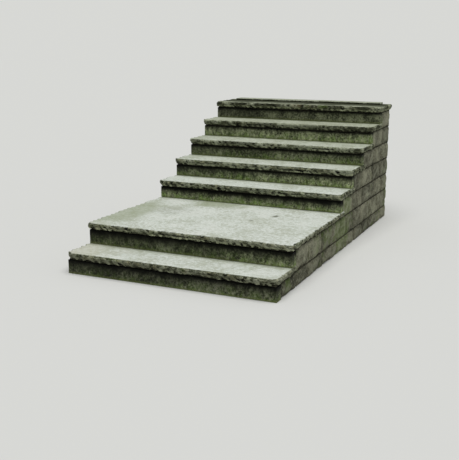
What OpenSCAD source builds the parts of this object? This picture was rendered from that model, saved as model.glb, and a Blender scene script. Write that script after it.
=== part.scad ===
// Outdoor stone steps: one low step, a deep landing and an upper flight that ends at a door sill.
// Each step is an upright riser stone with walling behind it, a bed of mortar, and a thick slab
// that overhangs the riser and shows a broken, rock-faced edge at the front and at both ends.
// X runs across the steps, Y runs up the flight, and Z = 0 is the level of the paving.

/* [Flight] */
// Width of the steps between the outer faces of the side walls
flight_w = 1650; // [1200:10:2400]
// Height of the first step above the paving
rise_first = 162; // [140:1:190]
// Height from the first step to the landing
rise_landing = 167; // [140:1:190]
// Height of each step in the upper flight
rise_upper = 153; // [135:1:185]
// Number of risers in the upper flight
upper_risers = 5; // [2:1:7]
// Depth of the first step, from riser face to riser face
going_first = 287; // [250:1:400]
// Depth of the landing, from riser face to riser face
landing_depth = 1120; // [700:5:1600]
// Depth of each step in the upper flight, from riser face to riser face
going_upper = 294; // [250:1:400]
// Depth of the top step, from its riser face to the back of the steps
top_depth = 405; // [320:1:900]

/* [Slabs] */
// Thickness of the slabs
slab_t = 48; // [35:1:70]
// How far a slab stands out in front of its riser
nosing = 20; // [18:1:40]
// How far a slab stands out at each end of the steps
end_overhang = 5; // [2:1:20]
// Corner radius of the slabs
corner_r = 32; // [28:1:80]
// Corner radius of the first step, which is worn rounder
first_corner_r = 70; // [30:1:120]
// Distance of the joint in the top step from the middle of the steps
top_joint_x = 76; // [-300:1:300]
// Width of that joint
joint_gap = 4; // [2:0.5:10]

/* [Broken edges] */
// Depth of the hollows where stone was struck off along the upper edge
chip_depth = 9; // [0:0.5:12]
// Average length of one such hollow
chip_length = 64; // [40:1:120]
// How far a hollow leans sideways from the upper edge to the lower edge
chip_slant = 26; // [0:1:60]
// How far the broken face swells out beyond the upper edge
face_bulge = 7; // [0:0.5:12]
// How far the lower edge falls back under the broken face
foot_fall = 4; // [0:0.5:12]
// Height of the small unevenness of the broken face
grain_depth = 3; // [0:0.5:5]
// Depth of the largest bite out of the lower edge
bite_depth = 14; // [0:1:16]
// Depth of the deepest of the long hollows that run below a lip
lip_depth = 9; // [0:1:10]
// Spacing of the points along a broken edge
edge_step = 22; // [18:1:40]

/* [Masonry] */
// Thickness of the riser stones
riser_t = 80; // [60:1:120]
// Bevel on the two upright front edges of a riser stone
riser_bevel = 4; // [1:0.5:10]
// Thickness of the side walls
wall_t = 200; // [120:5:300]
// Thickness of the mortar beds
bed_t = 10; // [6:1:15]
// How far the mortar is raked back from the faces of the stones
bed_recess = 8; // [3:1:15]

/* [Door sill] */
// Distance from each end of the steps to the end of the sill
sill_inset = 75; // [0:5:300]
// Depth of the sill
sill_depth = 120; // [80:5:200]
// Depth of the level seat at the back of the sill, where the door frame stands
sill_seat = 45; // [20:1:50]
// Height of the sill above the top step
sill_h = 18; // [16:1:60]
// Radius of the rounded front edge of the sill
sill_nose_r = 7; // [3:1:10]
// Fall of the sill's top from its seat to its front edge
sill_fall = 2; // [0:0.5:4]

/* [Hidden] */
// The steps are counted from 1, the first above the paving. Step 2 is the landing.
LANDING = 2;
steps = LANDING + upper_risers;
rises = concat([rise_first, rise_landing], [for (k = [1:upper_risers]) rise_upper]);
goings = concat([going_first, landing_depth], [for (k = [2:upper_risers]) going_upper], [top_depth]);

// Sum of the first n values of a list
function total(list, n) = n <= 0 ? 0 : list[n - 1] + total(list, n - 1);

// The origin is the middle of the footprint of the masonry, at the paving
run = total(goings, steps);
y_back = run / 2;
half_w = flight_w / 2;

// Height of the top of step k, with the paving as step 0
function level(k) = total(rises, k);
// Face of riser k
function face_y(k) = total(goings, k - 1) - run / 2;
// Underside of the slab of step k, and underside of the mortar below it
function slab_foot(k) = level(k) - slab_t;
function bed_foot(k) = slab_foot(k) - bed_t;
// Foot of the walling behind riser k, which starts on the mortar bed of the step below
function course_foot(k) = k == 1 ? 0 : slab_foot(k - 1);

function slab_name(k) = k == LANDING ? "landing_slab" : str("tread_", k);
function numbered(name) = [for (k = [1:steps]) str(name, "_", k)];

// Heights on a broken edge where its profile has points, from 0 at the top to 1 at the foot
EDGE_ROWS = [0, 0.16, 0.36, 0.58, 0.8, 1];
// Large bites out of the lower edge: step, middle and half length along X, share of bite_depth
FOOT_BITES = [
    [5, 120, 68, 1.0], [5, -150, 55, 0.5], [6, 283, 42, 0.95], [6, 20, 70, 0.45], [3, -20, 60, 0.6],
    [4, -330, 60, 0.7], [2, -380, 75, 0.7], [2, 210, 55, 0.5], [1, -240, 65, 0.6]
];
// Long hollows below a lip: step, middle and half length along X, height on the edge, share of lip_depth
LIPS = [
    [4, 300, 130, 0.60, 1.0], [3, 400, 110, 0.55, 0.9], [1, 330, 75, 0.50, 0.55],
    [2, -80, 120, 0.60, 0.8], [5, 480, 100, 0.55, 0.8], [6, -350, 120, 0.60, 0.7]
];
// How sharply a lip's hollow ends above and below, as a share of the slab's thickness
LIP_SPREAD = 0.14;
// A hollow ends this far in front of the riser below, so that the slab always covers it
riser_cover = 2;
ARC_POINTS = 4;
NOSE_POINTS = 8;

SLAB_COLOR = [0.66, 0.65, 0.59];
RISER_COLOR = [0.30, 0.31, 0.24];
WALL_COLOR = [0.36, 0.36, 0.29];
CORE_COLOR = [0.42, 0.40, 0.35];
MORTAR_COLOR = [0.52, 0.50, 0.44];

// A repeatable scattered value from 0 to 1 for a whole number and a seed
function scatter(i, seed) =
    let (h = sin(i * 77.31 + seed * 41.17) * 4375.85)
    h - floor(h);

// Smooth step from 0 to 1, held at both ends
function fade(f) = let (u = min(max(f, 0), 1)) u * u * (3 - 2 * u);

// Scattered values, blended smoothly between whole numbers
function ripple(x, seed) =
    let (i = floor(x), u = fade(x - i))
    scatter(i, seed) * (1 - u) + scatter(i + 1, seed) * u;

// Depth from 0 to 1 of the struck hollows at distance s along an edge: a row of shallow bowls
// of uneven length and depth that meet in sharp ribs
function struck(s, seed) =
    let (
        place = s / chip_length + 0.7 * ripple(s / (1.7 * chip_length), seed),
        bowl = floor(place),
        f = place - bowl
    )
    (0.35 + 0.65 * scatter(bowl, seed + 3)) * 4 * f * (1 - f);

// How far a broken edge stands out at distance s along it and height v, 0 at the top, 1 at the foot:
// a swelling, less the fall to the foot, the hollows from above and smaller ones from below
function broken(s, v, seed) =
    face_bulge * sin(180 * pow(v, 0.7))
    - foot_fall * pow(v, 3)
    - chip_depth * struck(s + chip_slant * v, seed) * pow(1 - v, 1.2)
    - 0.4 * chip_depth * struck(s - chip_slant * v, seed + 29) * v * v
    + grain_depth * (ripple(s / 29, seed + 11 + 7 * v) - 0.5);

// Depth of the bites and lips of step k at x and height v. A bite is deepest at the foot and runs out
// above the middle of the edge. A lip's hollow runs out towards its two ends.
function bitten(k, x, v) = bite_depth * max([0, for (b = FOOT_BITES) if (b[0] == k)
    b[3] * max(0, 1 - pow((x - b[1]) / b[2], 4)) * fade((v - 0.48) / 0.4)]);
function undercut(k, x, v) = lip_depth * max([0, for (l = LIPS) if (l[0] == k)
    l[4] * sqrt(max(0, 1 - pow((x - l[1]) / l[2], 2))) * exp(-pow((v - l[3]) / LIP_SPREAD, 2))]);

// A depth d behind the edge line, eased so that it never reaches the limit
function held(d, limit) =
    let (free = 2 / 3 * limit, room = limit - free)
    d > -free ? d : -free - room * (1 - exp((d + free) / room));

// How far the front or an end of slab k stands out at [x, y, outward x, outward y, roughness],
// at distance s and height v. Bites and lips are on the front alone.
function stands(k, w, s, v, seed) =
    let (front = fade(-1.5 * w[3]))
    w[4] * held(broken(s, v, seed) - front * (bitten(k, w[0], v) + undercut(k, w[0], v)), nosing - riser_cover);

// Plan points of a slab's edge are [x, y, outward x, outward y, roughness]
// Points from a to b, without b
function straight(a, b, out) =
    let (n = max(1, ceil(norm(b - a) / edge_step)))
    [for (i = [0:n - 1]) concat(a + (b - a) * i / n, out, [1])];

// Points round a corner from angle a0 on, without the last
function round_corner(c, r, a0) =
    [for (i = [0:ARC_POINTS - 1])
        let (a = a0 + 90 * i / ARC_POINTS, out = [cos(a), sin(a)])
        concat(c + r * out, out, [1])];

// An end of the slab that is broken, with its front corner, walked from back to front
function broken_left(x, y0, y1, r) = concat(
    straight([x, y1], [x, y0 + r], [-1, 0]),
    round_corner([x + r, y0 + r], r, 180)
);
// The same at the other end, walked from front to back
function broken_right(x, y0, y1, r) = concat(
    round_corner([x - r, y0 + r], r, 270),
    straight([x, y0 + r], [x, y1], [1, 0]),
    [[x, y1, 1, 0, 1]]
);
// An end that is cut straight for a joint, marked by a roughness of 0 at the back
function cut_left(x, y0, y1) = [[x, y1, -1, 0, 0]];
function cut_right(x, y0, y1) = [[x, y0, 0, -1, 1], [x, y1, 1, 0, 0]];

// Walk along three sides of a slab: the left end, the front edge and the right end.
// A corner radius of 0 stands for an end that is cut straight.
function slab_walk(x0, x1, y0, y1, r0, r1) = concat(
    r0 > 0 ? broken_left(x0, y0, y1, r0) : cut_left(x0, y0, y1),
    straight([x0 + r0, y0], [x1 - r1, y0], [0, -1]),
    r1 > 0 ? broken_right(x1, y0, y1, r1) : cut_right(x1, y0, y1)
);

// Distance walked up to each point
function walked(walk) =
    [for (i = 0, s = 0; i < len(walk);
        s = s + (i + 1 < len(walk) ? norm([walk[i + 1][0] - walk[i][0], walk[i + 1][1] - walk[i][1]]) : 0),
        i = i + 1) s];

// The slab of step k: the edge profile is carried along the walk in strips of triangles, and flat
// faces close the top, the foot, the back and an end that is cut straight
module broken_slab(k, x0, x1, y0, y1, r0, r1, seed) {
    z = level(k);
    walk = slab_walk(x0, x1, y0, y1, r0, r1);
    along = walked(walk);
    n = len(walk);
    m = len(EDGE_ROWS);
    points = [for (i = [0:n - 1]) for (v = EDGE_ROWS)
        let (w = walk[i], d = stands(k, w, along[i], v, seed))
        [w[0] + w[2] * d, w[1] + w[3] * d, z - v * slab_t]];
    cut0 = walk[0][4] == 0;
    cut1 = walk[n - 1][4] == 0;
    rows = [0:m - 1];
    strips = [(cut0 ? 1 : 0):(cut1 ? n - 3 : n - 2)];
    top = [for (i = [n - 1:-1:0]) i * m];
    foot = [for (i = [0:n - 1]) i * m + m - 1];
    back = concat(
        cut0 ? [0, m - 1] : [for (j = rows) j],
        [for (j = [m - 1:-1:0]) if (!cut1 || j == 0 || j == m - 1) (n - 1) * m + j]
    );
    end0 = cut0 ? [concat([0], [for (j = rows) m + j], [m - 1])] : [];
    end1 = cut1 ? [concat([(n - 1) * m, n * m - 1], [for (j = [m - 1:-1:0]) (n - 2) * m + j])] : [];
    upper = [for (i = strips) for (j = [0:m - 2]) [i * m + j, (i + 1) * m + j, (i + 1) * m + j + 1]];
    lower = [for (i = strips) for (j = [0:m - 2]) [i * m + j, (i + 1) * m + j + 1, i * m + j + 1]];
    color(SLAB_COLOR)
        polyhedron(points = points, faces = concat([top, foot, back], end0, end1, upper, lower));
}

// The slab of step k, whose back part carries the riser above
module step_slab(k) {
    r = k == 1 ? first_corner_r : corner_r;
    x = half_w + end_overhang;
    broken_slab(k, -x, x, face_y(k) - nosing, face_y(k + 1) + riser_t, r, r, k);
}

// One of the two slabs of the top step
module top_slab(side) {
    x = half_w + end_overhang;
    y0 = face_y(steps) - nosing;
    if (side == "left")
        broken_slab(steps, -x, top_joint_x - joint_gap / 2, y0, y_back, corner_r, 0, steps);
    else
        broken_slab(steps, top_joint_x + joint_gap / 2, x, y0, y_back, 0, corner_r, steps + 1);
}

// Upright stone that closes the front of step k, with its two upright front edges bevelled
module riser(k) {
    foot = level(k - 1);
    outline = [
        [-half_w, riser_t], [-half_w, riser_bevel], [-half_w + riser_bevel, 0],
        [half_w - riser_bevel, 0], [half_w, riser_bevel], [half_w, riser_t]
    ];
    color(RISER_COLOR)
        translate([0, face_y(k), foot])
            linear_extrude(bed_foot(k) - foot) polygon(outline);
}

// A block of walling behind riser k, from the riser's back to the back of the steps
module course(k, x0, x1) {
    y0 = face_y(k) + riser_t;
    foot = course_foot(k);
    translate([x0, y0, foot]) cube([x1 - x0, y_back - y0, bed_foot(k) - foot]);
}

// Course k of a side wall
module side_wall(k, side) {
    inner = half_w - wall_t;
    color(WALL_COLOR)
        if (side == "left") course(k, -half_w, -inner);
        else course(k, inner, half_w);
}

// Rubble filling between the side walls at course k
module core(k) {
    inner = half_w - wall_t;
    color(CORE_COLOR) course(k, -inner, inner);
}

// Mortar under the slab of step k and under the next course of walling
module mortar_bed(k) {
    x = half_w - bed_recess;
    y0 = face_y(k) + bed_recess;
    color(MORTAR_COLOR)
        translate([-x, y0, bed_foot(k)]) cube([2 * x, y_back - bed_recess - y0, bed_t]);
}

// Raised stone at the back of the top step, with a rounded front edge, a falling top and a level seat
module door_sill() {
    sill_w = flight_w - 2 * sill_inset;
    front_h = sill_h - sill_fall;
    nose = [for (i = [0:NOSE_POINTS])
        let (a = 180 - 90 * i / NOSE_POINTS)
        [sill_nose_r * (1 + cos(a)), front_h + sill_nose_r * (sin(a) - 1)]];
    seat = [[sill_depth - sill_seat, sill_h], [sill_depth, sill_h]];
    profile = concat([[sill_depth, 0], [0, 0]], nose, seat);
    color(SLAB_COLOR)
        translate([-sill_w / 2, y_back - sill_depth, level(steps)])
            rotate([90, 0, 90]) linear_extrude(sill_w) polygon(profile);
}

for (k = [1:steps]) {
    riser(k);
    mortar_bed(k);
    side_wall(k, "left");
    side_wall(k, "right");
    core(k);
}
for (k = [1:steps - 1]) step_slab(k);
top_slab("left");  // top_slab_left
top_slab("right");  // top_slab_right
door_sill();
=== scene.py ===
"""Looks of a flight of outdoor stone steps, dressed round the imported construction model.

Slabs, riser stones, walling and sill are surfaces worked out with numpy, in metres and in the frame of
the model: +X across the steps, +Y up the flight, +Z up. All finishes are made of shader nodes.
"""

import itertools
import math
from collections import namedtuple

import bmesh
import bpy
import numpy as np
from mathutils import Matrix, Vector


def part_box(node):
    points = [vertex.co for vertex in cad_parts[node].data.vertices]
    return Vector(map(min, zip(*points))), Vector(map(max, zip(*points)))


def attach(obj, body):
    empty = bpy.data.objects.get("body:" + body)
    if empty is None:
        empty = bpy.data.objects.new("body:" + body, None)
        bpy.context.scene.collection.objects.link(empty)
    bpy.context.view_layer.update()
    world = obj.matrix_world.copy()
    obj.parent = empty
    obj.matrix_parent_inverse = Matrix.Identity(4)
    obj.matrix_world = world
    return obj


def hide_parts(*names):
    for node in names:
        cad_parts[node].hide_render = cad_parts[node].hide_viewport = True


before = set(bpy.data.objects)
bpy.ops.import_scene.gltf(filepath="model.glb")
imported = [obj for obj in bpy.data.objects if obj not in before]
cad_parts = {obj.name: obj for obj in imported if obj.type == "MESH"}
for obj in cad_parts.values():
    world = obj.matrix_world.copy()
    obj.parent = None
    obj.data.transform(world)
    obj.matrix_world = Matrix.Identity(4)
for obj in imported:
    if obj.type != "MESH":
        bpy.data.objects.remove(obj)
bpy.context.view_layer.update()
MM = 0.001

# Steps, counted from the first above the paving. Step 2 is the landing.
STEPS = 7
LANDING = 2
# How far the slabs stand out in front of the risers and at the ends of the steps
NOSING = 20 * MM
END_OVERHANG = 5 * MM
# Corner radii of the slabs, and of the first one, which is worn rounder
CORNER = 32 * MM
FIRST_CORNER = 70 * MM
# Outward directions of faces
LEFT = (-1, 0, 0)
RIGHT = (1, 0, 0)
FRONT = (0, -1, 0)
BACK = (0, 1, 0)
UP = (0, 0, 1)

# Broken edges: the same hollows, swelling and fall as the construction model has
CHIP_DEPTH = 9 * MM
CHIP_LENGTH = 64 * MM
CHIP_SLANT = 26 * MM
FACE_BULGE = 7 * MM
FOOT_FALL = 4 * MM
GRAIN_DEPTH = 3 * MM
GRAIN_LENGTH = 29 * MM

# Camera fitted to the photograph: place in metres, angles in degrees, focal length in picture points
CAMERA_PLACE = (2.573, -6.100, 1.662)
CAMERA_TURN = 24.41
CAMERA_TILT = 13.37
CAMERA_ROLL = 0.18
FOCAL_POINTS = 787.1
LONG_SIDE_POINTS = 460


# Scattered values and noise

def scatter(i, seed):
    """A repeatable value from 0 to 1 for each whole number i: the fraction of a large sine."""
    h = np.sin(np.radians(i * 77.31 + seed * 41.17)) * 4375.85
    return h - np.floor(h)


def fade(f):
    """Smooth step 3f^2 - 2f^3, held at 0 and 1 outside."""
    f = np.clip(f, 0, 1)
    return f * f * (3 - 2 * f)


def ripple(x, seed):
    """Scattered values blended smoothly between whole numbers."""
    i = np.floor(x)
    u = fade(x - i)
    return scatter(i, seed) * (1 - u) + scatter(i + 1, seed) * u


def lattice(i, j, k, seed):
    """A repeatable value from 0 to 1 for each point of a whole-number lattice, by mixing its bits."""
    n = i.astype(np.int64) * 374761393 + j.astype(np.int64) * 668265263
    n = (n + k.astype(np.int64) * 2147483647 + seed * 974634777) & 0xFFFFFFFF
    n = ((n ^ (n >> 13)) * 1274126177) & 0xFFFFFFFF
    return ((n ^ (n >> 16)) & 0xFFFF) / 65535.0


def noise(x, y, z, seed):
    """Lattice values blended smoothly over the eight corners of each cell, from 0 to 1."""
    i, j, k = (np.floor(a) for a in (x, y, z))
    u, v, w = fade(x - i), fade(y - j), fade(z - k)
    value = 0.0
    for a, b, c in itertools.product((0, 1), repeat=3):
        weight = (u if a else 1 - u) * (v if b else 1 - v) * (w if c else 1 - w)
        value = value + weight * lattice(i + a, j + b, k + c, seed)
    return value


def layered(x, y, z, seed, layers=3):
    """Sum of noises, each twice as fine and half as strong as the one before, from -0.5 to 0.5."""
    total, strength = 0.0, 1.0
    for layer in range(layers):
        scale = 2.0 ** layer
        total = total + strength * (noise(x * scale, y * scale, z * scale, seed + layer) - 0.5)
        strength /= 2
    return total / (2 - 2.0 ** (1 - layers))


# Form of the scars: the margin of a cell that holds no point, how curved a bowl is, how far it leans,
# how unevenly deep it lies, and the mean
SCAR_MARGIN = 0.15
SCAR_CURVE = 0.6
SCAR_LEAN = 1.6
SCAR_SINK = 0.5
SCAR_MEAN = 0.14


def scars(x, y, seed):
    """Scars of struck flakes: at each place the lowest of many shallow bowls, one round each of the
    points scattered one to a cell, each tilted and sunk by its own amount. The bowls meet in sharp
    ridges. Centred on 0."""
    ci, cj = np.floor(x), np.floor(y)
    zero = ci * 0
    lowest = zero + 9.0
    room = 1 - 2 * SCAR_MARGIN
    for a, b in itertools.product(range(-2, 3), repeat=2):
        i, j = ci + a, cj + b
        spot_x, spot_y, lean_x, lean_y, sunk = (lattice(i, j, zero, seed + k) for k in range(5))
        dx = x - i - SCAR_MARGIN - room * spot_x
        dy = y - j - SCAR_MARGIN - room * spot_y
        tilt = dx * (lean_x - 0.5) + dy * (lean_y - 0.5)
        bowl = SCAR_CURVE * (dx * dx + dy * dy) + SCAR_LEAN * tilt + SCAR_SINK * sunk
        lowest = np.minimum(lowest, bowl)
    return lowest - SCAR_MEAN


def local_mean(field, reaches):
    """Mean over a window of the neighbours along each axis, by running sums."""
    for axis, reach in enumerate(reaches):
        margin = [(0, 0)] * field.ndim
        margin[axis] = (reach + 1, reach)
        total = np.cumsum(np.pad(field, margin, mode="edge"), axis=axis)
        start = np.arange(field.shape[axis])
        window = 2 * reach + 1
        field = (total.take(start + window, axis) - total.take(start, axis)) / window
    return field


# Meshes

# Points closer than this are one, and edges shorter than this are nothing
MERGE = 0.002 * MM
NOTHING = 0.001 * MM


def grid_faces(index):
    """Quads between neighbours of a two-way array of point numbers."""
    a, b = index[:-1, :-1], index[:-1, 1:]
    c, d = index[1:, 1:], index[1:, :-1]
    return np.stack([a, b, c, d], axis=-1).reshape(-1, 4)


def make_piece(name, points, quads, polygons, values, finish, slot, node):
    """One closed mesh from joined surfaces. Points that coincide are merged, faces that have shrunk to
    nothing go, and all faces are turned outwards. values maps attribute names to point values."""
    mesh = bpy.data.meshes.new(name)
    mesh.from_pydata(points.tolist(), [], quads.tolist() + [list(p) for p in polygons])
    for key, value in values.items():
        layer = mesh.attributes.new(key, "FLOAT", "POINT")
        layer.data.foreach_set("value", np.ascontiguousarray(value, dtype=np.float32))
    work = bmesh.new()
    work.from_mesh(mesh)
    bmesh.ops.remove_doubles(work, verts=work.verts, dist=MERGE)
    bmesh.ops.dissolve_degenerate(work, edges=work.edges, dist=NOTHING)
    bmesh.ops.recalc_face_normals(work, faces=work.faces)
    work.to_mesh(mesh)
    work.free()
    mesh.shade_smooth()
    mesh.materials.append(finish)
    piece = bpy.data.objects.new(name, mesh)
    bpy.context.scene.collection.objects.link(piece)
    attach(piece, "root")
    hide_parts(node)


# Slabs

# Band along the broken edges that the edge profile covers, and steps along it and in the grids inside it
BAND = 75 * MM
COLUMN_STEP = 3.3 * MM
GRID_STEP = 20 * MM
# Radii of the arrises, and the rows of the profile: distances from the edge on the top and below, angles
# round an arris, and number down the face
ARRIS = 2.2 * MM
FOOT_ARRIS = 2.5 * MM
TOP_INSETS = np.array([75, 50, 32, 20, 12, 7, 4, 2.6]) * MM
UNDER_INSETS = np.array([4, 11, 26, 75]) * MM
ARC = np.radians([25.0, 50.0, 75.0])
FACE_ROWS = 15

# Finer relief of the broken faces. Scars of two sizes: lean in degrees, length, height, how far their
# ridges bend, share of the depth, and seed
SCAR_DEPTH = 13.5 * MM
SCAR_SIZES = (
    (30, 50 * MM, 23 * MM, 10 * MM, 1.00, 60),
    (-12, 24 * MM, 13 * MM, 5 * MM, 0.40, 70),
)
BEND_LENGTH = 55 * MM
CRUMB_LENGTH = 8 * MM
CRUMB_HEIGHT = 6 * MM
CRUMB_SHARE = 0.25
# Chance bites out of the foot, and how far ridges stand out and hollows go in at most
UNDERBITE_DEPTH = 9 * MM
UNDERBITE_LENGTH = 95 * MM
FURTHEST_OUT = 6.3 * MM
FURTHEST_IN = -19 * MM
# Depth below the surroundings that counts as a full hollow, depth and reach of the stone spalled off along
# the arris, and depth and number of the waves of the top
HOLLOW_SCALE = 5.0 * MM
SPALL_DEPTH = 8 * MM
SPALL_REACH = 6 * MM
SURFACE_WAVE = 1.2 * MM
WAVES_PER_METRE = 3.1

# Depth down the face, as a share of its height, where bites and chance bites start, and the share of the
# height over which they reach their full depth
BITE_START = 0.48
UNDERBITE_START = 0.5
BITE_RAMP = 0.4
# Large bites out of the lower edge: step, middle and half length along X, share of the depth
BITE_DEPTH = 14 * MM
FOOT_BITES = (
    (5, 0.120, 0.068, 1.0), (5, -0.150, 0.055, 0.5), (6, 0.283, 0.042, 0.95), (6, 0.020, 0.070, 0.45),
    (3, -0.020, 0.060, 0.6), (4, -0.330, 0.060, 0.7), (2, -0.380, 0.075, 0.7), (2, 0.210, 0.055, 0.5),
    (1, -0.240, 0.065, 0.6),
)
# Long hollows below a lip: step, middle and half length along X, height on the edge, share of the depth
LIP_DEPTH = 9 * MM
LIP_SPREAD = 0.14
LIPS = (
    (4, 0.300, 0.130, 0.60, 1.0), (3, 0.400, 0.110, 0.55, 0.9), (1, 0.330, 0.075, 0.50, 0.55),
    (2, -0.080, 0.120, 0.60, 0.8), (5, 0.480, 0.100, 0.55, 0.8), (6, -0.350, 0.120, 0.60, 0.7),
)


def struck(s, seed):
    """Hollows along an edge, 0 to 1: a row of bowls 4f(1-f) of uneven length and depth."""
    place = s / CHIP_LENGTH + 0.7 * ripple(s / (1.7 * CHIP_LENGTH), seed)
    bowl = np.floor(place)
    f = place - bowl
    return (0.35 + 0.65 * scatter(bowl, seed + 3)) * 4 * f * (1 - f)


def broken(s, v, seed):
    """How far a broken edge stands out at distance s and height v, 0 at the top and 1 at the foot: a
    swelling, less the fall to the foot, the hollows from above and smaller ones from below."""
    return (
        FACE_BULGE * np.sin(np.pi * v ** 0.7)
        - FOOT_FALL * v ** 3
        - CHIP_DEPTH * struck(s + CHIP_SLANT * v, seed) * (1 - v) ** 1.2
        - 0.4 * CHIP_DEPTH * struck(s - CHIP_SLANT * v, seed + 29) * v * v
        + GRAIN_DEPTH * (ripple(s / GRAIN_LENGTH, seed + 11 + 7 * v) - 0.5)
    )


def turned(s, drop, degrees):
    """Distances along and across a direction that leans down from the walk by the angle."""
    a = math.radians(degrees)
    return s * math.cos(a) + drop * math.sin(a), drop * math.cos(a) - s * math.sin(a)


def fracture(s, drop, seed):
    """Finer relief of a broken face at distance s and drop below the top: scars of two sizes, longer
    than they are high and leaning down, with bent ridges, and a crumbly grain."""
    bend = layered(s / BEND_LENGTH, drop / BEND_LENGTH, s * 0, seed + 50)
    relief = 0.0
    for lean, length, height, bent, share, own_seed in SCAR_SIZES:
        along, across = turned(s, drop, lean)
        relief = relief + share * scars(along / length, (across + bent * bend) / height, seed + own_seed)
    return relief + CRUMB_SHARE * layered(s / CRUMB_LENGTH, drop / CRUMB_HEIGHT, s * 0, seed + 80)


def named_bites(x, front, v, step):
    """Depth of the bites and lips of one step that are listed, on its front alone. A bite deepens from the
    middle of the height down. A lip's hollow is a bell curve of the height."""
    depth = 0.0 * (x + v)
    for k, middle, half, share in FOOT_BITES:
        if k == step:
            along = np.clip(1 - ((x - middle) / half) ** 4, 0, 1)
            depth = depth + BITE_DEPTH * share * along * fade((v - BITE_START) / BITE_RAMP)
    for k, middle, half, level, share in LIPS:
        if k == step:
            along = np.clip(1 - ((x - middle) / half) ** 2, 0, 1)
            depth = depth + LIP_DEPTH * share * np.sqrt(along) * np.exp(-(((v - level) / LIP_SPREAD) ** 2))
    return depth * front


def face_relief(x, front, s, drop, thick, seed, step):
    """Whole relief of a broken face: the large form, the scars, bites out of the foot, and limits on
    how far ridges stand out and hollows go in."""
    v = drop / thick
    relief = broken(s, v, seed) + SCAR_DEPTH * fracture(s, drop, seed)
    bitten = np.clip(1.8 * ripple(s / UNDERBITE_LENGTH, seed + 43) - 0.7, 0, 1)
    relief = relief - UNDERBITE_DEPTH * bitten * fade((v - UNDERBITE_START) / BITE_RAMP)
    relief = relief - named_bites(x, front, v, step)
    return np.clip(relief, FURTHEST_IN, FURTHEST_OUT)


def surface_wave(x, y, seed):
    """Slight unevenness of a slab's top."""
    return SURFACE_WAVE * layered(x * WAVES_PER_METRE, y * WAVES_PER_METRE, x * 0, seed + 90)


def walk_straight(a, b, out):
    """Even steps from a to b, without b: places, outward directions and the fraction walked."""
    a, b = np.array(a, float), np.array(b, float)
    n = max(2, round(np.linalg.norm(b - a) / COLUMN_STEP))
    t = np.arange(n)[:, None] / n
    return a + (b - a) * t, np.tile(np.array(out[:2], float), (n, 1)), t[:, 0]


def walk_corner(centre, radius, start):
    """Even steps round a quarter circle from the start angle in degrees, without its end."""
    n = max(3, round(radius * math.pi / 2 / COLUMN_STEP))
    t = np.arange(n) / n
    a = np.radians(start + 90 * t)
    out = np.stack([np.cos(a), np.sin(a)], axis=1)
    return np.array(centre) + radius * out, out, t


def slab_walk(x0, x1, y0, y1, corner, left, right, gx, gy):
    """The walk round a slab's broken edges, from the back of the left end to the back of the right one.
    Gives the places, the outward directions and, for each, the point on the rim of the grids gx and gy
    that the band starts from. left and right say which ends are broken. Each leg is a walk and the parts
    of gx and gy that it goes along, as fractions at its start and end."""
    legs = [(walk_straight((x0 + corner * left, y0), (x1 - corner * right, y0), FRONT), (0, 1), (0, 0))]
    if left:
        legs.insert(0, (walk_corner((x0 + corner, y0 + corner), corner, 180), (0, 0), (0, 0)))
        legs.insert(0, (walk_straight((x0, y1), (x0, y0 + corner), LEFT), (0, 0), (1, 0)))
    if right:
        legs.append((walk_corner((x1 - corner, y0 + corner), corner, 270), (1, 1), (0, 0)))
        legs.append((walk_straight((x1, y0 + corner), (x1, y1), RIGHT), (1, 1), (0, 1)))
    end, way = ((x1, y1), RIGHT) if right else ((x1, y0), FRONT)
    legs.append(((np.array([end]), np.array([way[:2]], float), np.zeros(1)), (1, 1), (int(right), 1)))

    def rim(grid, part, t):
        return grid[np.round((part[0] + (part[1] - part[0]) * t) * (len(grid) - 1)).astype(int)]

    place = np.concatenate([walk[0] for walk, part_x, part_y in legs])
    out = np.concatenate([walk[1] for walk, part_x, part_y in legs])
    rim_x = np.concatenate([rim(gx, part_x, walk[2]) for walk, part_x, part_y in legs])
    rim_y = np.concatenate([rim(gy, part_y, walk[2]) for walk, part_x, part_y in legs])
    return place, out, np.stack([rim_x, rim_y], axis=1)


def slab_profile(thick):
    """Rows of the edge profile: inset, drop, how much of the relief they take, and the signed distance
    from the arris, below 0 on the top and above 0 on the face."""
    def rows(inset, drop, weight, edge):
        return np.stack(np.broadcast_arrays(inset, drop, weight, edge), axis=1).astype(float)

    drops = np.linspace(ARRIS, thick - FOOT_ARRIS, FACE_ROWS)
    low_arc = ARC[::-1]
    return np.concatenate([
        rows(TOP_INSETS, 0.0, (1 - TOP_INSETS / BAND) ** 3, -TOP_INSETS),
        rows(ARRIS * (1 - np.sin(ARC)), ARRIS * (1 - np.cos(ARC)), 1.0, ARRIS * (ARC - 0.8)),
        rows(0.0, drops, 1.0, drops),
        rows(FOOT_ARRIS * (1 - np.sin(low_arc)), thick - FOOT_ARRIS * (1 - np.cos(low_arc)), 1.0, thick),
        rows(UNDER_INSETS, thick, (1 - UNDER_INSETS / BAND) ** 3, thick + UNDER_INSETS),
    ])


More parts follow.
